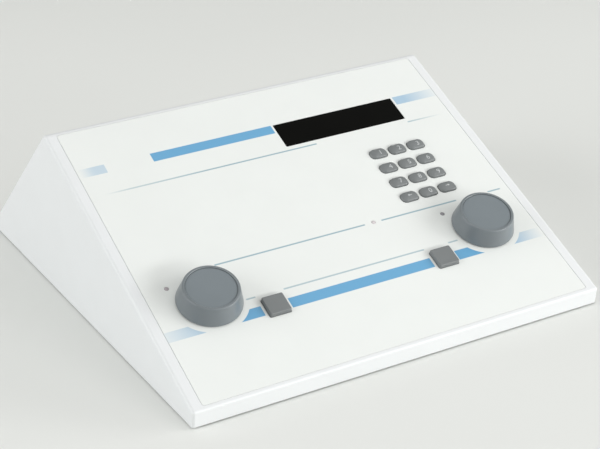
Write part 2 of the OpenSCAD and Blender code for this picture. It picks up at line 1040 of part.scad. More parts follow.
// Capacitors as [x, y, radius, height]
CAPACITORS = [
    [20, -40, 6, 14], [36, -40, 6, 14], [52, -42, 4, 9], [64, -42, 4, 9], [190, 40, 5, 12]];

module on_main_board(x, y) {
    translate([x - main_board_w / 2, main_board_y - mid_y + y, main_top])
        children();
}

module board_chips() {
    color(BLACK)
        for (chip = CHIPS)
            on_main_board(chip[0], chip[1])
                block(chip[2], chip[3], 0, chip[4]);
}

module board_capacitors() {
    color([0.20, 0.24, 0.42])
        for (capacitor = CAPACITORS)
            on_main_board(capacitor[0], capacitor[1])
                bar(capacitor[2], 0, capacitor[3]);
}

// A laminated core on its foot, with its winding round the middle limb
core_x = 28;
core_y = 20;
core_w = 36;
core_limb = 14;
core_h = 30;
core_foot_d = 30;
core_foot_h = 8;
winding_w = 22;
winding_d = 26;
winding_top = 23;

module transformer() {
    color([0.35, 0.33, 0.32])
        on_main_board(core_x, core_y) {
            block(core_w, core_foot_d, 0, core_foot_h);
            block(core_w, core_limb, 0, core_h);
            block(winding_w, winding_d, core_foot_h - weld, winding_top);
        }
}

// Rear ------------------------------------------------------------------------------------------

module rear_panel() {
    color(STEEL)
        on_rear()
            difference() {
                block(rear_plate_w, rear_plate_h, -rear_plate_t, 0);
                at_rear_screws()
                    bar(screw_r + rear_clear, -MUCH, MUCH);
                at_jacks()
                    bar(jack_bush_r + rear_clear, -MUCH, MUCH);
                translate([port_x, 0, 0])
                    rounded_block(shell_w + 2 * shell_clear, shell_h + 2 * shell_clear, shell_corner,
                        -MUCH, MUCH);
                translate([inlet_x, 0, 0])
                    bar(inlet_r + rear_clear, -MUCH, MUCH);
                translate([switch_x, 0, 0])
                    block(switch_body_w + 2 * rear_clear, switch_body_h + 2 * rear_clear, -MUCH, MUCH);
            }
}

module rear_panel_screws() {
    color(STEEL)
        on_rear()
            at_rear_screws()
                screw(wall + rear_boss_len - rear_screw_short);
}

// A jack body behind the plate, with a bush through it and a blind bore
module phone_jacks() {
    color(BLACK)
        on_rear()
            at_jacks()
                difference() {
                    union() {
                        block(jack_body_w, jack_body_h, -rear_plate_t - jack_body_len, -rear_plate_t);
                        bar(jack_bush_r, -rear_plate_t - weld, jack_bush_len);
                    }
                    bar(jack_d / 2, jack_bush_len - jack_bore_len, MUCH);
                }
}

module jack_nuts() {
    color(STEEL)
        on_rear()
            at_jacks()
                difference() {
                    bar(jack_nut_r, 0, jack_nut_t);
                    bar(jack_bush_r + thread_clear, -CUT, MUCH);
                }
}

// A nine-way socket: a shell in front of the plate and a housing behind it
module data_port() {
    color(STEEL)
        on_rear()
            translate([port_x, 0, 0])
                difference() {
                    union() {
                        block(port_w, port_h, -rear_plate_t - port_depth, -rear_plate_t);
                        rounded_block(shell_w, shell_h, shell_corner, -rear_plate_t - weld, shell_len);
                    }
                    rounded_block(shell_w - 2 * shell_wall, shell_h - 2 * shell_wall,
                        shell_corner - shell_wall / 2, shell_len - shell_well, MUCH);
                }
}

module power_inlet() {
    color(BLACK)
        on_rear()
            translate([inlet_x, 0, 0]) {
                difference() {
                    union() {
                        block(inlet_w, inlet_w, -rear_plate_t - inlet_w, -rear_plate_t);
                        bar(inlet_r, -rear_plate_t - weld, inlet_proud);
                    }
                    bar(inlet_hole_r, -inlet_hole_d, MUCH);
                }
                bar(inlet_pin_r, -inlet_hole_d - weld, inlet_pin_top);
            }
}

module power_switch() {
    color(BLACK)
        on_rear()
            translate([switch_x, 0, 0])
                difference() {
                    union() {
                        block(switch_body_w, switch_body_h, -switch_depth, switch_rim_t);
                        block(switch_body_w + 2 * switch_rim, switch_body_h + 2 * switch_rim,
                            0, switch_rim_t);
                    }
                    block(rocker_w + 2 * rocker_gap, rocker_h + 2 * seat_clear, -rocker_well_d, MUCH);
                    translate([0, 0, rocker_pivot])
                        rotate([90, 0, 0])
                            cylinder(r = rocker_pin_r + shaft_clear, center = true,
                                h = rocker_h + 2 * (rocker_pin_len + stop_gap));
                }
}

// A rocker that rests tilted to its off side, on two short pins
module power_rocker() {
    half = rocker_w / 2;
    color(BLACK)
        on_rear()
            translate([switch_x, 0, rocker_pivot])
                rotate([0, rocker_throw / 2, 0])
                    rotate([90, 0, 0]) {
                        linear_extrude(rocker_h, center = true)
                            polygon([
                                [-half, rocker_low - rocker_pivot], [-half, rocker_high - rocker_pivot],
                                [0, rocker_mid - rocker_pivot], [half, rocker_high - rocker_pivot],
                                [half, rocker_low - rocker_pivot]]);
                        cylinder(r = rocker_pin_r, h = rocker_h + 2 * rocker_pin_len, center = true);
                    }
}

upper_casing();
base_plate();
base_screws();
rubber_feet();
front_panel();
panel_nuts();
panel_film();
display_window();
display_bezel();
display_glass();
display_board();
display_spacers();
display_screws();
keypad_board();
key_switches();
keypad_spacers();
keypad_screws();
for (i = [0:len(KEY_NAMES) - 1])
    key(i);
left_button();
right_button();
button_switches();
left_knob();
right_knob();
left_knob_cap();
right_knob_cap();
left_encoder_shaft();
right_encoder_shaft();
left_encoder();
right_encoder();
encoder_nuts();
indicator_leds();
control_board();
control_spacers();
control_screws();
main_board();
main_board_screws();
board_chips();
board_capacitors();
transformer();
rear_panel();
rear_panel_screws();
phone_jacks();
jack_nuts();
data_port();
power_inlet();
power_switch();
power_rocker();
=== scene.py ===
"""The looks of a desktop audiometer: casing, printed panel, display, keypad, dials, buttons and sockets.

Every piece is drawn in millimetres in its own place on the casing, then set down in the CAD's frame,
which is in metres.
"""

import math

import bmesh
import bpy
from mathutils import Matrix, Vector


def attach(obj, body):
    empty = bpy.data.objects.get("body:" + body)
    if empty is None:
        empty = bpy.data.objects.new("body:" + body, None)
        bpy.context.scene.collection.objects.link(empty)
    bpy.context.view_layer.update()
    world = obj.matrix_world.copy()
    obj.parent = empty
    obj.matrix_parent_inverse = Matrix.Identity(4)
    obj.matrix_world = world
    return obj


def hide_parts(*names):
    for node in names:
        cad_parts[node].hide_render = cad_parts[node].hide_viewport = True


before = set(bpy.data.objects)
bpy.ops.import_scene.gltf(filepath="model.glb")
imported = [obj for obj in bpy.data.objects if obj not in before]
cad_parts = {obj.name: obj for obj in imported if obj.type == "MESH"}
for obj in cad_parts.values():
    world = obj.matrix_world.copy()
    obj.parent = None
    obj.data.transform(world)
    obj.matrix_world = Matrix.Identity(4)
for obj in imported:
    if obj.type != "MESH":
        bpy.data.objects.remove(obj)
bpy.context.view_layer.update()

# Sizes of the casing, in millimetres, as in the part's source
WIDTH, DEPTH = 300.0, 393.0
LIP_H, LIP_LEAN, REAR_LIP_H = 11.5, 3.0, 12.0
WALL, SLOPE_WALL, FLOOR_GAP = 3.0, 6.0, 1.0
EDGE_R, RIDGE_R, LIP_R = 2.0, 7.0, 1.5
RIM_SIDE, RIM_FRONT, RIM_REAR, LEDGE = 7.8, 3.0, 4.0, 8.0
RECESS_CORNER, FILM_GROOVE = 2.0, 0.2
PANEL_DEPTH, FILM, CLEAR = 3.0, 0.4, 0.25
REAR_W, REAR_H, REAR_V, REAR_PLATE_T = 209.0, 43.4, 52.0, 1.5

# The controls, with x across from the middle and v up the slope from its front edge
DIAL_X, DIAL_V, DIAL_GAP = 104.0, 77.7, 0.5
DIAL_BASE_R, DIAL_TOP_R, DIAL_H, DIAL_EDGE_R = 22.0, 18.75, 13.2, 0.9
CAP_R, CAP_RECESS, CAP_SINK = DIAL_TOP_R - 2, 1.6, 0.55
LEFT_BUTTON_GAP, RIGHT_BUTTON_GAP, BUTTON_DROP = 39.0, 42.0, 18.0
BUTTON_W, BUTTON_H, BUTTON_V = 15.4, 3.0, DIAL_V - BUTTON_DROP
BUTTON_XS = {"left_button": LEFT_BUTTON_GAP - DIAL_X, "right_button": DIAL_X - RIGHT_BUTTON_GAP}
KEYPAD_RISE, DISPLAY_RISE, DISPLAY_DROP = 63.7, 62.1, 52.7
KEYPAD_X, KEYPAD_V, KEY_PITCH_X, KEY_PITCH_V = 83.6, DIAL_V + KEYPAD_RISE, 15.5, 15.2
KEY_W, KEY_D, KEY_H, KEY_CORNER, KEY_EDGE, KEY_CROWN = 13.3, 8.5, 2.4, 3.5, 0.9, 16.0
DISPLAY_X, DISPLAY_V, DISPLAY_W, DISPLAY_H = 57.0, KEYPAD_V + DISPLAY_RISE, 97.6, 23.1
LED_R, LED_SIDE, LED_RISE, MIDDLE_LED_SIDE, MIDDLE_LED_RISE = 1.5, 21.6, 18.9, 72.0, 27.5
LED_SPOTS = [(-DIAL_X - LED_SIDE, DIAL_V + LED_RISE), (DIAL_X - LED_SIDE, DIAL_V + LED_RISE),
             (DIAL_X - MIDDLE_LED_SIDE, DIAL_V + MIDDLE_LED_RISE)]

# Undersides and tops of the flanges that keep the keys and the push buttons behind the plate
FLANGE_LOW, FLANGE_HIGH = -4.3, -3.3

SLOPE, SLOPE_LEN = math.radians(26.5), DISPLAY_V + DISPLAY_DROP
RIDGE = Vector((SLOPE_LEN * math.cos(SLOPE), LIP_H + SLOPE_LEN * math.sin(SLOPE)))
REAR_SLOPE = math.atan2(RIDGE.y - REAR_LIP_H, DEPTH - RIDGE.x)
OUTLINE = [Vector(p) for p in ((LIP_LEAN, 0), (0, LIP_H), RIDGE, (DEPTH, REAR_LIP_H), (DEPTH, 0))]


def inset_corner(a, b, c, d1, d2):
    """Corner b of a clockwise outline, with edge a-b moved in by d1 and edge b-c by d2."""
    u, w = (b - a).normalized(), (c - b).normalized()
    m, n = Vector((u.y, -u.x)), Vector((w.y, -w.x))
    s = m.x * n.y - m.y * n.x
    return b + Vector((d1 * n.y - d2 * m.y, d2 * m.x - d1 * n.x)) / s


def inset_outline(distances):
    """The casing's side outline with each edge moved in by its own distance."""
    count = len(OUTLINE)
    return [
        inset_corner(OUTLINE[i - 1], OUTLINE[i], OUTLINE[(i + 1) % count], distances[i - 1], distances[i])
        for i in range(count)
    ]


def rounded(points, radii, steps=10):
    """A side outline with arcs at its corners, as a list of points in order."""
    out = []
    for i, p in enumerate(points):
        back = (points[i - 1] - p).normalized()
        ahead = (points[(i + 1) % len(points)] - p).normalized()
        half = back.angle(ahead) / 2
        r = max(radii[i], 0.02)
        middle = p + (back + ahead).normalized() * r / math.sin(half)
        start = p + back * r / math.tan(half) - middle
        end = p + ahead * r / math.tan(half) - middle
        turn = start.angle_signed(end)
        for k in range(steps + 1):
            a = -turn * k / steps
            out.append(middle + Vector((start.x * math.cos(a) - start.y * math.sin(a),
                                        start.x * math.sin(a) + start.y * math.cos(a))))
    return out


LIP_FRONT = min(p.x for p in rounded(OUTLINE, [0, LIP_R, 0, 0, 0], 60))
MID_Y = (DEPTH + LIP_FRONT) / 2

METRES = Matrix.Scale(0.001, 4)
CASING_PLACE = METRES @ Matrix.Translation((0, -MID_Y, FLOOR_GAP))
PANEL_PLACE = METRES @ Matrix.Translation((0, -MID_Y, FLOOR_GAP + LIP_H)) @ Matrix.Rotation(SLOPE, 4, "X")
REAR_PLACE = (METRES @ Matrix.Translation((0, DEPTH - MID_Y, FLOOR_GAP + REAR_LIP_H))
              @ Matrix.Rotation(math.pi, 4, "Z") @ Matrix.Rotation(REAR_SLOPE, 4, "X")
              @ Matrix.Translation((0, REAR_V, 0)))


# Materials -------------------------------------------------------------------------------------


class Wire:
    """A socket of a node tree on which Python's operators add Math nodes."""

    def __init__(self, nodes, socket):
        self.nodes, self.socket = nodes, socket

    def math(self, operation, *others):
        return self.nodes.add("ShaderNodeMath", {"operation": operation},
                              {i: v for i, v in enumerate((self, *others))})

    def __add__(self, other):
        return self.math("ADD", other)

    def __sub__(self, other):
        return self.math("SUBTRACT", other)

    def __mul__(self, other):
        return self.math("MULTIPLY", other)

    def __truediv__(self, other):
        return self.math("DIVIDE", other)

    def __rsub__(self, other):
        return self.nodes.add("ShaderNodeMath", {"operation": "SUBTRACT"}, {0: other, 1: self})

    __radd__, __rmul__ = __add__, __mul__

    def rises(self, low, high):
        """0 below low, 1 above high and smooth between."""
        return self.nodes.add("ShaderNodeMapRange", {"interpolation_type": "SMOOTHSTEP"},
                              {"Value": self, "From Min": low, "From Max": high})

    def within(self, low, high, soft):
        """1 between low and high, with an edge that is soft wide."""
        return self.rises(low - soft / 2, low + soft / 2) * (1 - self.rises(high - soft / 2, high + soft / 2))

    def ramp(self, low, high):
        """0 below low, 1 above high and straight between."""
        return self.nodes.add("ShaderNodeMapRange", None, {"Value": self, "From Min": low, "From Max": high})

    def either(self, other):
        return self.math("MAXIMUM", other)


class Finish:
    """A material built up from nodes."""

    def __init__(self, name, **sockets):
        self.material = bpy.data.materials.new(name)
        self.material.use_nodes = True
        self.tree = self.material.node_tree
        self.surface = next(n for n in self.tree.nodes if n.type == "BSDF_PRINCIPLED")
        self.set(**sockets)

    def add(self, kind, settings=None, inputs=None, output=0):
        node = self.tree.nodes.new(kind)
        for key, value in (settings or {}).items():
            setattr(node, key, value)
        for key, value in (inputs or {}).items():
            self.feed(node.inputs[key], value)
        return Wire(self, node.outputs[output])

    def feed(self, socket, value):
        if isinstance(value, Wire):
            self.tree.links.new(value.socket, socket)
        elif hasattr(value, "__len__") and len(value) == 3 and socket.type == "RGBA":
            socket.default_value = (*value, 1.0)
        else:
            socket.default_value = value

    def set(self, **sockets):
        for key, value in sockets.items():
            self.feed(self.surface.inputs[key.replace("_", " ")], value)

    def place(self):
        return self.add("ShaderNodeTexCoord", output=3)

    def noise(self, scale, detail=3.0, roughness=0.5):
        return self.add("ShaderNodeTexNoise", None,
                        {"Vector": self.place(), "Scale": scale, "Detail": detail, "Roughness": roughness})

    def blend(self, factor, a, b):
        return self.add("ShaderNodeMix", {"data_type": "RGBA"}, {0: factor, 6: a, 7: b}, output=2)

    def bump(self, height, strength, distance):
        sockets = {"Height": height, "Strength": strength, "Distance": distance}
        self.feed(self.surface.inputs["Normal"], self.add("ShaderNodeBump", None, sockets))


def moulded(name, colour, roughness, grain=2600.0, depth=0.00002, mottle=0.03, **extra):
    """A moulded plastic: fine grain, with its colour and gloss a little uneven."""
    f = Finish(name, **extra)
    patches = f.noise(38.0, 2.0)
    darker = tuple(c * (1 - mottle) for c in colour)
    f.set(Base_Color=f.blend(patches.rises(0.35, 0.65), darker, colour))
    f.set(Roughness=roughness + (patches - 0.5) * 0.08)
    f.bump(f.noise(grain, 2.0), 0.25, depth)
    return f.material


def brushed(name, colour, roughness, along=(3000.0, 40.0, 40.0)):
    """A metal with fine lines drawn along one direction."""
    f = Finish(name, Metallic=1.0)
    stretched = f.add("ShaderNodeMapping", None, {"Vector": f.place(), "Scale": along})
    lines = f.add("ShaderNodeTexNoise", None, {"Vector": stretched, "Scale": 1.0, "Detail": 3.0})
    f.set(Base_Color=f.blend(lines, tuple(c * 0.86 for c in colour), colour))
    f.set(Roughness=roughness + (lines - 0.5) * 0.12)
    f.bump(lines, 0.12, 0.00001)
    return f.material


WHITE = (0.685, 0.70, 0.705)
FILM_WHITE = (0.705, 0.725, 0.705)
STRIPE_BLUE = (0.115, 0.325, 0.53)
LINE_BLUE = (0.25, 0.37, 0.42)

# What is printed on the film, in the panel's millimetres
UPPER_BAND, LOWER_BAND = (207.1, 215.3), (54.7, 63.0)
LINE_T, LINE_VS = 1.2, (187.8, 105.0, 71.05)
DIAL_CLEARING, BUTTON_CLEARING, DISPLAY_CLEARING, INK_EDGE = 26.0, 9.8, 1.8, 0.35


def printed_film():
    """The white film, with its blue bands and thin lines drawn from the panel's own measures."""
    f = Finish("printed_film")
    axes = f.add("ShaderNodeSeparateXYZ", None, {0: f.place()})
    across, depth = (Wire(f, axes.socket.node.outputs[i]) * 1000 for i in range(2))
    up = (depth + MID_Y) / math.cos(SLOPE)

    def clear_of_dials():
        """1 outside the clear ring round each dial."""
        out = 1
        for side in (-1, 1):
            dx, dv = across - side * DIAL_X, up - DIAL_V
            radius = (dx * dx + dv * dv).math("SQRT")
            out = out * radius.rises(DIAL_CLEARING - INK_EDGE / 2, DIAL_CLEARING + INK_EDGE / 2)
        return out

    def clear_of_buttons():
        """1 outside the clear strip round each push button."""
        out = 1
        for x in BUTTON_XS.values():
            out = out * (1 - across.within(x - BUTTON_CLEARING, x + BUTTON_CLEARING, INK_EDGE))
        return out

    display_left = DISPLAY_X - DISPLAY_W / 2 - DISPLAY_CLEARING
    display_right = DISPLAY_X + DISPLAY_W / 2 + DISPLAY_CLEARING
    upper_solid = across.within(-87.5, display_left, INK_EDGE)
    upper_left = across.within(-141.5, -121.5, INK_EDGE) * across.rises(-142.0, -128.0) * 0.40
    upper_right = across.within(display_right, 143.0, INK_EDGE) * (1 - across.ramp(116.0, 146.0)) * 0.62
    upper = up.within(*UPPER_BAND, INK_EDGE) * upper_solid.either(upper_left).either(upper_right)
    lower_fade = (0.16 + across.ramp(-142.0, -91.0) * 0.84) * (1 - across.ramp(105.0, 141.0))
    lower = up.within(*LOWER_BAND, INK_EDGE) * clear_of_buttons() * clear_of_dials() * lower_fade

    def line(v, *stretches):
        """A thin line at v, drawn along stretches of (from, to, strength)."""
        parts = [across.within(low, high, 1.0) * strength for low, high, strength in stretches]
        drawn = parts[0]
        for part in parts[1:]:
            drawn = drawn.either(part)
        return up.within(v - LINE_T / 2, v + LINE_T / 2, INK_EDGE) * drawn

    top_v, middle_v, low_v = LINE_VS
    grows = across.rises(-134.0, -108.0) * 0.6 + across.rises(-110.0, -46.0) * 0.35
    fades = (1 - across.ramp(107.0, 135.0)) * 0.8
    lines = line(top_v, (-134.0, 30.0, grows), (106.0, 136.0, fades))
    lines = lines.either(line(middle_v, (-88.0, 25.0, 0.95), (38.0, 98.6, 0.95), (125.0, 135.5, 0.9)))
    lines = lines.either(line(low_v, (-81.0, -74.5, 0.75), (-54.0, 52.7, 0.75), (72.0, 79.5, 0.75)))

    patches = f.noise(26.0, 2.0)
    white = f.blend(patches.rises(0.3, 0.7), tuple(c * 0.985 for c in FILM_WHITE), FILM_WHITE)
    inked = f.blend(upper.either(lower), white, STRIPE_BLUE)
    f.set(Base_Color=f.blend(lines, inked, LINE_BLUE))
    f.set(Roughness=0.40 + (patches - 0.5) * 0.06)
    f.bump(f.noise(1900.0, 2.0), 0.18, 0.00002)
    return f.material


def circuit_board():
    """Green solder mask over copper tracks."""
    f = Finish("circuit_board", Roughness=0.35)
    stretched = f.add("ShaderNodeMapping", None, {"Vector": f.place(), "Scale": (1.0, 1.0, 0.1)})
    cells = f.add("ShaderNodeTexVoronoi", {"distance": "MANHATTAN"}, {"Vector": stretched, "Scale": 240.0})
    tracks = cells.within(0.18, 0.34, 0.04)
    f.set(Base_Color=f.blend(tracks, (0.012, 0.10, 0.035), (0.03, 0.22, 0.08)))
    f.bump(tracks, 0.3, 0.00004)
    return f.material


casing_white = moulded("casing_white", WHITE, 0.38, mottle=0.012)
base_white = moulded("base_white", (0.62, 0.63, 0.635), 0.5, mottle=0.02)
film_print = printed_film()
control_grey = moulded("control_grey", (0.155, 0.166, 0.168), 0.42, grain=3200.0, mottle=0.06)
knob_grey = moulded("knob_grey", (0.145, 0.165, 0.176), 0.30, grain=3600.0, mottle=0.05)
cap_grey = moulded("cap_grey", (0.150, 0.175, 0.190), 0.44, grain=3600.0, mottle=0.04)
digit_print = moulded("digit_print", (0.46, 0.48, 0.48), 0.5, mottle=0.02)
black_moulding = moulded("black_moulding", (0.018, 0.018, 0.019), 0.42, mottle=0.1)
rubber_black = moulded("rubber_black", (0.022, 0.022, 0.022), 0.8, grain=1500.0, depth=0.00005, mottle=0.15)
display_black = moulded("display_black", (0.0022, 0.0022, 0.0018), 0.16, grain=700.0, depth=0.000004,
                        mottle=0.2, Specular_IOR_Level=0.04)
display_liquid = moulded("display_liquid", (0.05, 0.06, 0.04), 0.3)
lamp_grey = moulded("lamp_grey", (0.24, 0.235, 0.25), 0.3)
lamp_rose = moulded("lamp_rose", (0.37, 0.33, 0.35), 0.3)
lamp_pale = moulded("lamp_pale", (0.56, 0.52, 0.53), 0.3)
capacitor_sleeve = moulded("capacitor_sleeve", (0.03, 0.05, 0.20), 0.3)
varnished_core = moulded("varnished_core", (0.10, 0.08, 0.07), 0.35, mottle=0.3)
plated_steel = brushed("plated_steel", (0.62, 0.62, 0.63), 0.32, (400.0, 400.0, 400.0))
panel_aluminium = brushed("panel_aluminium", (0.76, 0.77, 0.78), 0.34)
board_green = circuit_board()

NODE_FINISHES = {
    base_white: ["base_plate"],
    plated_steel: ["panel_nuts", "display_bezel", "display_spacers", "display_screws", "keypad_spacers",
                   "keypad_screws", "encoder_nuts", "control_spacers", "control_screws", "main_board_screws",
                   "left_encoder_shaft", "right_encoder_shaft"],
    panel_aluminium: ["front_panel"],
    display_liquid: ["display_glass"],
    board_green: ["display_board", "keypad_board", "control_board", "main_board"],
    black_moulding: ["key_switches", "button_switches", "left_encoder", "right_encoder", "board_chips"],
    capacitor_sleeve: ["board_capacitors"],
    varnished_core: ["transformer"],
}
for finish, names in NODE_FINISHES.items():
    for name in names:
        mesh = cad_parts[name].data
        mesh.materials.clear()
        mesh.materials.append(finish)


# Making pieces ---------------------------------------------------------------------------------


def new_object(name, mesh):
    made = bpy.data.objects.new(name, mesh)
    bpy.context.scene.collection.objects.link(made)
    return made


def skin(name, rings, wrap=True, caps=True):
    """A closed skin through rings of points, all with the same count."""
    count = len(rings[0])
    points = [tuple(p) for ring in rings for p in ring]
    faces = []
    for r in range(len(rings) - 1):
        for i in range(count if wrap else count - 1):
            j = (i + 1) % count
            faces.append((r * count + i, r * count + j, (r + 1) * count + j, (r + 1) * count + i))
    if caps:
        faces.append(tuple(range(count))[::-1])
        faces.append(tuple((len(rings) - 1) * count + i for i in range(count)))
    mesh = bpy.data.meshes.new(name)
    mesh.from_pydata(points, [], faces)
    return new_object(name, tidied(mesh))


def tidied(mesh):
    """Merges doubles and points every face outwards."""
    bm = bmesh.new()
    bm.from_mesh(mesh)
    bmesh.ops.remove_doubles(bm, verts=bm.verts, dist=1e-5)
    bmesh.ops.dissolve_degenerate(bm, edges=bm.edges, dist=1e-6)
    bmesh.ops.recalc_face_normals(bm, faces=bm.faces)
    bm.to_mesh(mesh)
    bm.free()
    return mesh


def ring_rect(w, h, r, z, steps=6, x=0.0, y=0.0):
    """A rectangle with round corners as a ring of points at height z."""
    r = max(min(r, w / 2 - 1e-3, h / 2 - 1e-3), 1e-3)
    out = []
    for cx, cy, start in ((1, 1, 0), (-1, 1, 90), (-1, -1, 180), (1, -1, 270)):
        for k in range(steps + 1):
            a = math.radians(start + 90 * k / steps)
            out.append((x + cx * (w / 2 - r) + r * math.cos(a), y + cy * (h / 2 - r) + r * math.sin(a), z))
    return out


def ring_circle(r, z, count=64, x=0.0, y=0.0):
    return [(x + r * math.cos(2 * math.pi * k / count), y + r * math.sin(2 * math.pi * k / count), z)
            for k in range(count)]


def turned(name, profile, count=96, x=0.0, y=0.0):
    """A solid turned from a profile of (radius, height), from its underside up."""
    return skin(name, [ring_circle(max(r, 0.01), z, count, x, y) for r, z in profile])


def slab(name, w, h, r, low, high, x=0.0, y=0.0, steps=6):
    return skin(name, [ring_rect(w, h, r, z, steps, x, y) for z in (low, high)])


def stepped(name, w, h, r, steps):
    """A closed form through rectangles, each moved in by a step's first value at the height of its second."""
    return skin(name, [ring_rect(w - 2 * i, h - 2 * i, r, z) for i, z in steps])


def baked(obj):
    """Replaces a piece's mesh by what its modifiers make of it."""
    bpy.context.view_layer.update()
    graph = bpy.context.evaluated_depsgraph_get()
    mesh = bpy.data.meshes.new_from_object(obj.evaluated_get(graph))
    obj.modifiers.clear()
    obj.data = mesh
    return obj


def joined(name, parts):
    """One object from several, whose meshes are in the same place."""
    bm = bmesh.new()
    for part in parts:
        bm.from_mesh(part.data)
        bpy.data.objects.remove(part)
    mesh = bpy.data.meshes.new(name)
    bm.to_mesh(mesh)
    bm.free()
    return new_object(name, mesh)


def cut(obj, cutters):
    """Takes the cutters out of a piece."""
    tool = joined("tool", cutters)
    step = obj.modifiers.new("cut", "BOOLEAN")
    step.operation, step.solver, step.object, step.use_self = "DIFFERENCE", "EXACT", tool, True
    baked(obj)
    bpy.data.objects.remove(tool)
    return obj


def softened(obj, width, segments=3, angle=32):
    """Rounds a piece's sharp edges and evens its shading."""
    if width:
        step = obj.modifiers.new("edges", "BEVEL")
        step.width, step.segments, step.limit_method = width, segments, "ANGLE"
        step.angle_limit, step.miter_outer = math.radians(angle), "MITER_ARC"
        step.use_clamp_overlap = True
        baked(obj)
    obj.data.polygons.foreach_set("use_smooth", [True] * len(obj.data.polygons))
    obj.data.set_sharp_from_angle(angle=math.radians(42))
    step = obj.modifiers.new("shading", "WEIGHTED_NORMAL")
    step.keep_sharp = True
    return baked(obj)


def set_down(obj, place, finish, body, nodes=()):
    """Puts a piece in the frame, with its finish, the body it rides on and the nodes it stands for."""
    obj.data.transform(place)
    obj.data.materials.clear()
    obj.data.materials.append(finish)
    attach(obj, body)
    if nodes:
        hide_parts(*nodes)
    return obj


# Casing ----------------------------------------------------------------------------------------


def casing_skin():
    """The casing's outer form, with every long edge rounded."""
    rings = []
    radii = [0, LIP_R, RIDGE_R, LIP_R, 0]
    for side in (-1, 1):
        steps = range(0, 9) if side < 0 else range(8, -1, -1)
        for k in steps:
            a = math.radians(90 * k / 8)
            d = EDGE_R * (1 - math.sin(a))
            x = side * (WIDTH / 2 - EDGE_R + EDGE_R * math.cos(a))
            points = rounded(inset_outline([d, d, d, d, 0]), [max(r - d, 0) for r in radii], 8)
            rings.append([(x, p.x, p.y) for p in points])
    return skin("casing", rings)


def prism_x(name, outline, half):
    """A side outline drawn across from -half to half."""
    return skin(name, [[(x, p.x, p.y) for p in outline] for x in (-half, half)])


FROM_PANEL = CASING_PLACE.inverted() @ PANEL_PLACE
FROM_REAR = CASING_PLACE.inverted() @ REAR_PLACE


def casing():
    made = casing_skin()
    cut(made, [prism_x("hollow", inset_outline([WALL, SLOPE_WALL, WALL, WALL, -1.0]), WIDTH / 2 - WALL)])
    width, length = WIDTH - 2 * RIM_SIDE, SLOPE_LEN - RIM_FRONT - RIM_REAR
    v = RIM_FRONT + length / 2
    tools = [
        (slab("recess", width, length, RECESS_CORNER, -PANEL_DEPTH, 9, 0, v), FROM_PANEL),
        (slab("opening", width - 2 * LEDGE, length - 2 * LEDGE + 4, 0.1, -9, 5, 0, v), FROM_PANEL),
        (slab("seat", REAR_W + 0.6, REAR_H + 0.6, 0.6, -REAR_PLATE_T, 9), FROM_REAR),
        (slab("port", REAR_W - 20, REAR_H - 8, 0.1, -9, 5), FROM_REAR),
    ]
    for tool, place in tools:
        tool.data.transform(place)
        cut(made, [tool])
    softened(made, 0.35, 2, 40)
    set_down(made, CASING_PLACE, casing_white, "housing", ["upper_casing"])


# Panel -----------------------------------------------------------------------------------------


def panel_film():
    first, last = RIM_FRONT + FILM_GROOVE, SLOPE_LEN - RIM_REAR - FILM_GROOVE
    made = slab("printed_sheet", WIDTH - 2 * (RIM_SIDE + FILM_GROOVE), last - first,
                RECESS_CORNER - FILM_GROOVE, -FILM, 0, 0, (first + last) / 2, 8)
    windows = [(DISPLAY_W, DISPLAY_H, 0.8, DISPLAY_X, DISPLAY_V)]
    windows += [(KEY_W, KEY_D, KEY_CORNER, x, v) for x, v in key_spots()]
    windows += [(BUTTON_W, BUTTON_W, 1.2, x, BUTTON_V) for x in BUTTON_XS.values()]
    tools = [slab("t", w + 2 * CLEAR, h + 2 * CLEAR, r, -5, 5, x, v) for w, h, r, x, v in windows]
    tools += [turned("t", [(4.55, -5), (4.55, 5)], 48, side * DIAL_X, DIAL_V) for side in (-1, 1)]
    tools += [turned("t", [(LED_R + 0.1, -5), (LED_R + 0.1, 5)], 32, x, v) for x, v in LED_SPOTS]
    cut(made, tools)
    softened(made, 0.14, 2, 40)
    set_down(made, PANEL_PLACE, film_print, "housing", ["panel_film"])


def display():
    """The display's window: a flat dark pane with a fine rounded edge, and a foot behind the plate."""
    pane = stepped("display_pane", DISPLAY_W, DISPLAY_H, 0.8,
                   ((0, -3.5), (0, -0.45), (0.1, -0.2), (0.35, -0.1)))
    foot = slab("foot", DISPLAY_W + 5.2, DISPLAY_H + 5.2, 0.5, -4.0, -3.0)
    made = joined("display_cover", [pane, foot])
    made.data.transform(Matrix.Translation((DISPLAY_X, DISPLAY_V, 0)))
    softened(made, 0)
    set_down(made, PANEL_PLACE, display_black, "housing", ["display_window"])


def indicator_lamps():
    for i, (x, v) in enumerate(LED_SPOTS):
        dome = [(LED_R + 0.4, -16.0), (LED_R + 0.4, -15.0), (LED_R, -15.0), (LED_R, -0.15)]
        dome += [(LED_R * math.cos(a), -0.15 + 0.45 * math.sin(a)) for a in (0.3, 0.6, 0.9, 1.2, 1.5)]
        made = softened(turned(f"lamp_{i + 1}", dome, 32, x, v), 0)
        set_down(made, PANEL_PLACE, (lamp_rose, lamp_grey, lamp_pale)[i], "housing",
                 ["indicator_leds"] if i == 0 else ())


# Keypad ----------------------------------------------------------------------------------------

KEY_NAMES = ["1", "2", "3", "4", "5", "6", "7", "8", "9", "clear", "0", "enter"]
DIGIT_SIZE, SIGN_REACH, SIGN_LIFT = 5.6, 3.0, 0.02
SIGN_SHIFT = Vector((0.9, -0.5))


def key_spots():
    return [(KEYPAD_X + (i % 3 - 1) * KEY_PITCH_X, KEYPAD_V + (1.5 - i // 3) * KEY_PITCH_V)
            for i in range(len(KEY_NAMES))]


def crown(x, y):
    """Height of a key's crowned top above the panel."""
    return KEY_H - KEY_CROWN + math.sqrt(KEY_CROWN ** 2 - x * x - y * y)


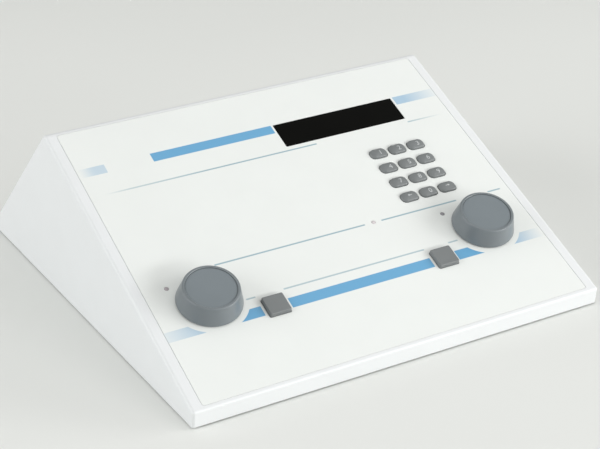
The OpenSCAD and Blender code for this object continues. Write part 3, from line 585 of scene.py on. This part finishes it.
def key_skin(name):
    """A key: a flange behind the plate, straight flanks, a soft edge and a crowned top."""
    rings = [ring_rect(KEY_W - 1, KEY_D + 2.5, 0.4, z) for z in (FLANGE_LOW, FLANGE_HIGH)]
    rings += [ring_rect(KEY_W, KEY_D, KEY_CORNER, z) for z in (FLANGE_HIGH, -0.4)]
    for k in range(7):
        a = math.radians(90 * k / 6)
        inset, drop = KEY_EDGE * (1 - math.cos(a)), KEY_EDGE * (1 - math.sin(a))
        ring = ring_rect(KEY_W - 2 * inset, KEY_D - 2 * inset, KEY_CORNER - inset, 0)
        rings.append([(x, y, crown(x, y) - drop) for x, y, _ in ring])
    top = ring_rect(KEY_W - 2 * KEY_EDGE, KEY_D - 2 * KEY_EDGE, KEY_CORNER - KEY_EDGE, 0)
    for share in (0.88, 0.72, 0.54, 0.36, 0.18, 0.02):
        rings.append([(x * share, y * share, crown(x * share, y * share)) for x, y, _ in top])
    return skin(name, rings)


def sign_mesh(sign):
    """A digit or a plain arrow, as a flat mesh cut finely enough to lie on the crown."""
    if sign in ("clear", "enter"):
        flip = -1 if sign == "clear" else 1
        points = [(-1.6, -0.28), (0.3, -0.28), (0.3, -1.0), (1.7, 0), (0.3, 1.0), (0.3, 0.28), (-1.6, 0.28)]
        mesh = bpy.data.meshes.new("sign")
        mesh.from_pydata([(flip * x, y, 0) for x, y in points], [], [tuple(range(7))[::flip]])
    else:
        curve = bpy.data.curves.new("sign", "FONT")
        curve.body, curve.size, curve.align_x, curve.align_y = sign, DIGIT_SIZE, "CENTER", "CENTER"
        curve.resolution_u = 3
        holder = new_object("sign", curve)
        bpy.context.view_layer.update()
        mesh = bpy.data.meshes.new_from_object(holder.evaluated_get(bpy.context.evaluated_depsgraph_get()))
        bpy.data.objects.remove(holder)
        low, high = (Vector(f(v.co[i] for v in mesh.vertices) for i in (0, 1)) for f in (min, max))
        mesh.transform(Matrix.Translation((*(SIGN_SHIFT - (low + high) / 2), 0)))
    bm = bmesh.new()
    bm.from_mesh(mesh)
    bmesh.ops.triangulate(bm, faces=bm.faces)
    for axis in (0, 1):
        for k in range(-4, 5):
            spot, normal = [0, 0, 0], [0, 0, 0]
            spot[axis], normal[axis] = SIGN_REACH * k / 5, 1
            whole = bm.verts[:] + bm.edges[:] + bm.faces[:]
            bmesh.ops.bisect_plane(bm, geom=whole, plane_co=spot, plane_no=normal)
    for v in bm.verts:
        v.co.z = crown(v.co.x, v.co.y) + SIGN_LIFT
    bm.to_mesh(mesh)
    bm.free()
    return mesh


def keypad():
    for name, (x, v) in zip(KEY_NAMES, key_spots()):
        spot = Matrix.Translation((x, v, 0))
        stem = turned("stem", [(2.0, -7.0), (2.0, FLANGE_LOW + 0.1)], 24)
        key = softened(joined(f"key_{name}_cap", [key_skin("cap"), stem]), 0)
        key.data.transform(spot)
        set_down(key, PANEL_PLACE, control_grey, f"key_{name}", [f"key_{name}"])
        sign = new_object(f"key_{name}_sign", sign_mesh(name))
        sign.data.transform(spot)
        set_down(sign, PANEL_PLACE, digit_print, f"key_{name}")


# Push buttons ----------------------------------------------------------------------------------


def push_buttons():
    flange, corner, edge, shoulder = BUTTON_W + 2.8, 1.0, 0.6, BUTTON_H - 0.7
    squares = [(flange, 0.5, FLANGE_LOW), (flange, 0.5, FLANGE_HIGH), (BUTTON_W, corner, FLANGE_HIGH),
               (BUTTON_W, corner, 0.0), (BUTTON_W - 0.3, corner, shoulder)]
    for k in range(1, 6):
        a = math.radians(90 * k / 5)
        inset = 0.15 + edge * (1 - math.cos(a))
        squares.append((BUTTON_W - 2 * inset, corner, shoulder + edge * math.sin(a)))
    squares.append((BUTTON_W - 3.2, 0.8, BUTTON_H - 0.12))
    for name, x in BUTTON_XS.items():
        cap = skin("cap", [ring_rect(w, w, r, z) for w, r, z in squares])
        stem = turned("stem", [(3.0, -9.8), (3.0, FLANGE_LOW + 0.1)], 24)
        made = joined(f"{name}_cap", [cap, stem])
        made.data.transform(Matrix.Translation((x, BUTTON_V, 0)))
        softened(made, 0)
        set_down(made, PANEL_PLACE, control_grey, name, [name])


# Dials -----------------------------------------------------------------------------------------


def dials():
    top, foot_r, seat_r = DIAL_GAP + DIAL_H, 0.5, CAP_R + 0.15
    slant = math.atan2(DIAL_BASE_R - DIAL_TOP_R, DIAL_H)
    edge_x = DIAL_TOP_R + DIAL_EDGE_R * (math.tan(slant) - 1 / math.cos(slant))
    profile = [(3.05, top - 1.8), (3.05, 6.2), (8.9, 6.2), (8.9, 1.0), (9.3, DIAL_GAP)]
    profile += [(DIAL_BASE_R - foot_r + foot_r * math.sin(a), DIAL_GAP + foot_r - foot_r * math.cos(a))
                for a in (0.0, 0.4, 0.8, 1.2, 1.5)]
    for k in range(8):
        a = slant + (math.pi / 2 - slant) * k / 7
        profile.append((edge_x + DIAL_EDGE_R * math.cos(a), top - DIAL_EDGE_R + DIAL_EDGE_R * math.sin(a)))
    profile += [(seat_r + 0.2, top), (seat_r, top - 0.2), (seat_r, top - CAP_RECESS), (0.0, top - CAP_RECESS)]
    high, low = top - CAP_SINK, top - CAP_RECESS
    cap_profile = [(CAP_R - 0.1, low), (CAP_R, low + 0.1), (CAP_R, high - 0.25), (CAP_R - 0.07, high - 0.07),
                   (CAP_R - 0.25, high), (CAP_R - 2, high - 0.03), (CAP_R * 0.6, high - 0.12),
                   (CAP_R * 0.3, high - 0.18), (0.0, high - 0.2)]
    for side, name in ((-1, "left"), (1, "right")):
        spot = dict(x=side * DIAL_X, y=DIAL_V)
        knob = softened(turned(f"{name}_dial", profile, 128, **spot), 0)
        set_down(knob, PANEL_PLACE, knob_grey, f"{name}_dial", [f"{name}_knob"])
        cap = softened(turned(f"{name}_dial_cap", cap_profile, 128, **spot), 0)
        set_down(cap, PANEL_PLACE, cap_grey, f"{name}_dial", [f"{name}_knob_cap"])


# Base ------------------------------------------------------------------------------------------

FOOT_INSET_X, FOOT_INSET_Y, FOOT_R = 25, 32, 8.0


def feet():
    profile = [(FOOT_R - 1.4, -FLOOR_GAP), (FOOT_R - 0.4, -FLOOR_GAP + 0.15), (FOOT_R, -FLOOR_GAP + 0.6),
               (FOOT_R, 1.5)]
    parts = [turned("foot", profile, 48, x, y) for x in (FOOT_INSET_X - WIDTH / 2, WIDTH / 2 - FOOT_INSET_X)
             for y in (FOOT_INSET_Y, DEPTH - FOOT_INSET_Y)]
    made = softened(joined("round_feet", parts), 0)
    set_down(made, CASING_PLACE, rubber_black, "housing", ["rubber_feet"])


def screw_tree(name, finish):
    """A node tree that sets a round-headed cross-recessed screw at each point of a mesh.

    The mesh comes in through the first socket, because a modifier gives it to no other.
    """
    tree = bpy.data.node_groups.new(name, "GeometryNodeTree")
    tree.interface.new_socket("Geometry", in_out="INPUT", socket_type="NodeSocketGeometry")
    sizes = {"Head radius": 2.8, "Head height": 1.7, "Shank radius": 1.45, "Shank length": 8.0}
    for label, value in sizes.items():
        made = tree.interface.new_socket(label, in_out="INPUT", socket_type="NodeSocketFloat")
        made.default_value = value
    tree.interface.new_socket("Geometry", in_out="OUTPUT", socket_type="NodeSocketGeometry")

    def node(kind, settings=None, **links):
        made = tree.nodes.new(kind)
        for key, value in (settings or {}).items():
            setattr(made, key, value)
        for key, value in links.items():
            socket = made.inputs[key.replace("_", " ")]
            if isinstance(value, bpy.types.NodeSocket):
                tree.links.new(value, socket)
            else:
                socket.default_value = value
        return made

    def raised(part, height, share):
        """A part moved up by a share of a height."""
        product = node("ShaderNodeMath", {"operation": "MULTIPLY"})
        tree.links.new(height, product.inputs[0])
        product.inputs[1].default_value = share
        lift = node("ShaderNodeCombineXYZ", Z=product.outputs[0])
        return node("GeometryNodeTransform", Geometry=part.outputs["Mesh"], Translation=lift.outputs[0])

    given = node("NodeGroupInput").outputs
    head_h, shank_len = given["Head height"], given["Shank length"]
    head = node("GeometryNodeMeshCylinder", Vertices=28, Radius=given["Head radius"], Depth=head_h)
    cross = node("GeometryNodeJoinGeometry")
    for size in ((3.0, 0.7, 1.6), (0.7, 3.0, 1.6)):
        bar = raised(node("GeometryNodeMeshCube", Size=size), head_h, 1.0)
        tree.links.new(bar.outputs[0], cross.inputs[0])
    recessed = node("GeometryNodeMeshBoolean", {"operation": "DIFFERENCE", "solver": "EXACT"})
    tree.links.new(raised(head, head_h, 0.5).outputs[0], recessed.inputs["Mesh 1"])
    tree.links.new(cross.outputs[0], recessed.inputs["Mesh 2"])
    shank = node("GeometryNodeMeshCylinder", Vertices=20, Radius=given["Shank radius"], Depth=shank_len)
    screw = node("GeometryNodeJoinGeometry")
    for part in (recessed, raised(shank, shank_len, -0.5)):
        tree.links.new(part.outputs[0], screw.inputs[0])
    placed = node("GeometryNodeInstanceOnPoints", Points=given["Geometry"], Instance=screw.outputs[0])
    real = node("GeometryNodeRealizeInstances", Geometry=placed.outputs[0])
    painted = node("GeometryNodeSetMaterial", Geometry=real.outputs[0], Material=finish)
    out = node("NodeGroupOutput")
    tree.links.new(painted.outputs[0], out.inputs[0])
    return tree


def screws(name, spots, sizes):
    """Screws whose heads stand on z = 0 at each spot, with their shanks pointing down."""
    mesh = bpy.data.meshes.new(name)
    mesh.from_pydata([(x, y, 0) for x, y in spots], [], [])
    made = new_object(name, mesh)
    step = made.modifiers.new("screws", "NODES")
    step.node_group = screw_tree(name + "_tree", plated_steel)
    for item in step.node_group.interface.items_tree:
        if item.name in sizes:
            step[item.identifier] = sizes[item.name]
    baked(made)
    return softened(made, 0.12, 2, 50)


def base_screws():
    xs = [side * (WIDTH / 2 - WALL - 5) for side in (-1, 1)]
    spots = [(x, MID_Y - y) for x in xs for y in (44, DEPTH / 2, DEPTH - 44)]
    made = screws("base_screw_set", spots, {"Shank length": 10.3, "Head height": 1.6})
    under = METRES @ Matrix.Translation((0, 0, FLOOR_GAP + 1.7)) @ Matrix.Rotation(math.pi, 4, "X")
    set_down(made, under, plated_steel, "housing", ["base_screws"])


# Rear ------------------------------------------------------------------------------------------

JACK_COUNT, JACK_PITCH, JACK_BORE_R, ROUND_HOLE_R = 4, 24, 3.25, 5.7
PORT_W, INLET_W, SWITCH_W, SWITCH_H = 31, 14, 19.2, 16
JACKS = [-REAR_W / 2 + 22 + JACK_PITCH * i for i in range(JACK_COUNT)]
PORT_X = JACKS[0] + JACK_COUNT * JACK_PITCH + 8
INLET_X = PORT_X + PORT_W / 2 + 12
SWITCH_X = INLET_X + INLET_W / 2 + 19
REAR_SCREWS = [(sx * (REAR_W / 2 - 5), sy * (REAR_H / 2 - 6)) for sx in (-1, 1) for sy in (-1, 1)]


def rear_plate():
    made = slab("rear_plate", REAR_W, REAR_H, 0.4, -REAR_PLATE_T, 0)
    tools = [turned("t", [(ROUND_HOLE_R, -5), (ROUND_HOLE_R, 5)], 40, x, 0) for x in (*JACKS, INLET_X)]
    tools += [turned("t", [(1.7, -5), (1.7, 5)], 24, x, y) for x, y in REAR_SCREWS]
    tools += [slab("t", 19.5, 10.5, 1.5, -5, 5, PORT_X, 0),
              slab("t", SWITCH_W + 0.4, SWITCH_H + 0.4, 0.2, -5, 5, SWITCH_X, 0)]
    cut(made, tools)
    softened(made, 0.18, 2, 40)
    set_down(made, REAR_PLACE, panel_aluminium, "housing", ["rear_panel"])
    made = screws("rear_screw_set", REAR_SCREWS, {})
    set_down(made, REAR_PLACE, plated_steel, "housing", ["rear_panel_screws"])


def turned_ring(profile, x):
    """A ring turned from a closed profile, without the caps that a turned solid has at its ends."""
    part = turned("ring", profile + profile[:1], 48, x, 0)
    bm = bmesh.new()
    bm.from_mesh(part.data)
    bmesh.ops.delete(bm, geom=[f for f in bm.faces if len(f.verts) > 4], context="FACES")
    bmesh.ops.remove_doubles(bm, verts=bm.verts, dist=1e-5)
    bmesh.ops.recalc_face_normals(bm, faces=bm.faces)
    bm.to_mesh(part.data)
    bm.free()
    return part


def rear_sockets():
    bush = [(JACK_BORE_R, -21), (JACK_BORE_R, 2.6), (3.55, 3.0), (5.2, 3.0), (5.5, 2.7), (5.5, -1.6),
            (4.0, -1.6), (4.0, -21)]
    nut = [(5.56, 0), (5.56, 1.9), (5.8, 2.2), (7.5, 2.2), (8.0, 1.7), (8.0, 0)]
    bodies, nuts = [], []
    for x in JACKS:
        bodies += [slab("b", 18, 22, 0.6, -23.5, -REAR_PLATE_T, x, 0), turned_ring(bush, x)]
        nuts.append(turned_ring(nut, x))
    bores = [turned("t", [(JACK_BORE_R - 0.05, -20.9), (JACK_BORE_R - 0.05, 9)], 48, x, 0) for x in JACKS]
    made = softened(cut(joined("jack_bodies", bodies), bores), 0)
    set_down(made, REAR_PLACE, black_moulding, "housing", ["phone_jacks"])
    made = softened(joined("jack_rings", nuts), 0)
    set_down(made, REAR_PLACE, plated_steel, "housing", ["jack_nuts"])


def data_port():
    shell = stepped("s", 18.5, 9.5, 1.5, ((0, -2), (0, 4.7), (0.2, 5.0), (0.5, 5.0), (0.7, 4.8), (0.7, 4.0)))
    body = slab("b", PORT_W, 12.5, 0.5, -11.5, -REAR_PLATE_T)
    made = joined("data_port_shell", [shell, body])
    made.data.transform(Matrix.Translation((PORT_X, 0, 0)))
    softened(made, 0)
    set_down(made, REAR_PLACE, plated_steel, "housing", ["data_port"])
    insert = slab("data_port_insert", 16.9, 7.9, 1.0, 3.0, 4.6)
    contacts = [(-5.5 + 2.75 * i, 1.4) for i in range(5)] + [(-4.1 + 2.75 * i, -1.4) for i in range(4)]
    made = softened(cut(insert, [turned("t", [(0.6, 3.4), (0.6, 6)], 16, x, y) for x, y in contacts]), 0)
    made.data.transform(Matrix.Translation((PORT_X, 0, 0)))
    set_down(made, REAR_PLACE, black_moulding, "housing", ())


def power_inlet():
    body = slab("b", INLET_W, 14, 0.5, -15.5, -REAR_PLATE_T)
    collar = turned("c", [(5.5, -2), (5.5, 1.1), (5.1, 1.5), (3.6, 1.5), (3.2, 1.2), (3.2, 1.0)], 48)
    made = cut(joined("power_inlet_body", [body, collar]), [turned("t", [(3.2, -9), (3.2, 5)], 48)])
    made.data.transform(Matrix.Translation((INLET_X, 0, 0)))
    softened(made, 0)
    set_down(made, REAR_PLACE, black_moulding, "housing", ["power_inlet"])
    pin = turned("power_inlet_pin", [(1.0, -9.5), (1.0, 0.5), (0.7, 0.9), (0.0, 1.0)], 24, INLET_X, 0)
    set_down(softened(pin, 0), REAR_PLACE, plated_steel, "housing", ())


def power_switch():
    """The switch's frame, and its rocker, which rests tilted to one side."""
    body = slab("b", SWITCH_W, SWITCH_H, 0.3, -18, 1.5)
    flange = stepped("f", SWITCH_W + 2, SWITCH_H + 2, 1.2, ((0, 0), (0, 1.1), (0.15, 1.4), (0.5, 1.5)))
    made = cut(joined("power_switch_frame", [body, flange]), [slab("t", 16.0, 9.6, 0.3, -7, 9)])
    softened(made, 0)
    made.data.transform(Matrix.Translation((SWITCH_X, 0, 0)))
    set_down(made, REAR_PLACE, black_moulding, "housing", ["power_switch"])
    side = [(-7.2, -2.5), (-7.2, 3.2), (-6.9, 3.36), (-4, 2.75), (0, 2.2), (4, 2.75), (6.9, 3.36),
            (7.2, 3.2), (7.2, -2.5)]
    rocker = skin("power_rocker_cap", [[(x, y, z) for x, z in side] for y in (-4.5, 4.5)])
    softened(rocker, 0.35, 3, 50)
    rocker.data.transform(Matrix.Translation((SWITCH_X, 0, -1)) @ Matrix.Rotation(math.radians(7), 4, "Y"))
    set_down(rocker, REAR_PLACE, black_moulding, "power_rocker", ["power_rocker"])


casing()
panel_film()
display()
indicator_lamps()
keypad()
push_buttons()
dials()
feet()
base_screws()
rear_plate()
rear_sockets()
data_port()
power_inlet()
power_switch()


# Studio ----------------------------------------------------------------------------------------

PALE_BACKDROP = (0.72, 0.735, 0.705)
SOFT_SKY, SOFT_SKY_STRENGTH = (1.0, 1.0, 0.99), 0.59
PAPER_TONES = (0.752, 0.762, 0.737), (0.762, 0.772, 0.747)
LAMP_TARGET = (0, 0, 0.05)

# The camera, found from the photograph's perspective
CAMERA_SPOT = (-0.4366, -0.95487, 0.45624)
CAMERA_RIGHT, CAMERA_AHEAD = (0.8846, -0.4607, -0.0718), (0.4038, 0.8340, -0.3761)
LENS, SENSOR_W = 92.14, 36.0


def studio_floor():
    """A pale table top that sweeps up a long way behind."""
    half, near, back, sweep, high = 14.0, -14.0, 7.0, 2.0, 6.0
    turns = [math.pi / 2 * k / 16 for k in range(17)]
    rows = [(near, 0.0)]
    rows += [(back - sweep + sweep * math.sin(a), sweep - sweep * math.cos(a)) for a in turns]
    rows.append((back, high))
    mesh = bpy.data.meshes.new("table_top")
    points = [(x, y, z) for y, z in rows for x in (-half, half)]
    mesh.from_pydata(points, [], [(2 * i, 2 * i + 1, 2 * i + 3, 2 * i + 2) for i in range(len(rows) - 1)])
    made = new_object("table_top", mesh)
    f = Finish("table_paper", Roughness=0.75)
    f.set(Base_Color=f.blend(f.noise(2.2, 1.0).rises(0.3, 0.7), *PAPER_TONES))
    mesh.materials.append(f.material)
    mesh.polygons.foreach_set("use_smooth", [True] * len(mesh.polygons))


def lamp(name, spot, size, power, colour=(1, 1, 1)):
    light = bpy.data.lights.new(name, "AREA")
    light.shape, light.size, light.size_y = "RECTANGLE", size[0], size[1]
    light.energy, light.color = power, colour
    made = new_object(name, light)
    made.location = spot
    made.rotation_euler = (Vector(LAMP_TARGET) - Vector(spot)).to_track_quat("-Z", "Y").to_euler()
    made.visible_camera = False


def studio_light():
    lamp("overhead_softbox", (0.8, -0.8, 2.4), (1.4, 1.4), 9.0)
    lamp("front_softbox", (1.5, -2.5, 0.25), (2.2, 0.4), 44.0)
    lamp("left_softbox", (-3.8, 0.3, 1.5), (4.4, 2.8), 106.0, (0.98, 0.987, 1.0))
    lamp("right_softbox", (3.1, -1.9, 0.9), (2.2, 1.4), 58.0)


def studio_world():
    """A soft sky, and a plain backdrop where the camera, a gloss or a clear pane looks at it."""
    world = bpy.data.worlds.new("studio")
    bpy.context.scene.world = world
    world.use_nodes = True
    nodes, links = world.node_tree.nodes, world.node_tree.links
    soft_sky = nodes["Background"]
    soft_sky.inputs["Color"].default_value = (*SOFT_SKY, 1)
    soft_sky.inputs["Strength"].default_value = SOFT_SKY_STRENGTH
    backdrop = nodes.new("ShaderNodeBackground")
    backdrop.inputs["Color"].default_value = (*PALE_BACKDROP, 1)
    path = nodes.new("ShaderNodeLightPath")
    seen = path.outputs["Is Camera Ray"]
    for ray in ("Is Glossy Ray", "Is Transmission Ray"):
        larger = nodes.new("ShaderNodeMath")
        larger.operation = "MAXIMUM"
        links.new(seen, larger.inputs[0])
        links.new(path.outputs[ray], larger.inputs[1])
        seen = larger.outputs[0]
    either = nodes.new("ShaderNodeMixShader")
    links.new(seen, either.inputs[0])
    links.new(soft_sky.outputs[0], either.inputs[1])
    links.new(backdrop.outputs[0], either.inputs[2])
    links.new(either.outputs[0], nodes["World Output"].inputs["Surface"])


def studio_camera():
    camera = bpy.data.cameras.new("camera")
    camera.lens, camera.sensor_width, camera.sensor_fit = LENS, SENSOR_W, "HORIZONTAL"
    camera.clip_start, camera.clip_end = 0.05, 50
    made = new_object("camera", camera)
    right, ahead = Vector(CAMERA_RIGHT).normalized(), Vector(CAMERA_AHEAD).normalized()
    up = right.cross(ahead).normalized()
    ahead = up.cross(right).normalized()
    turn = Matrix((right, up, -ahead)).transposed().to_4x4()
    made.matrix_world = Matrix.Translation(CAMERA_SPOT) @ turn
    bpy.context.scene.camera = made


studio_floor()
studio_light()
studio_world()
studio_camera()
bpy.context.scene.view_settings.view_transform = "Standard"
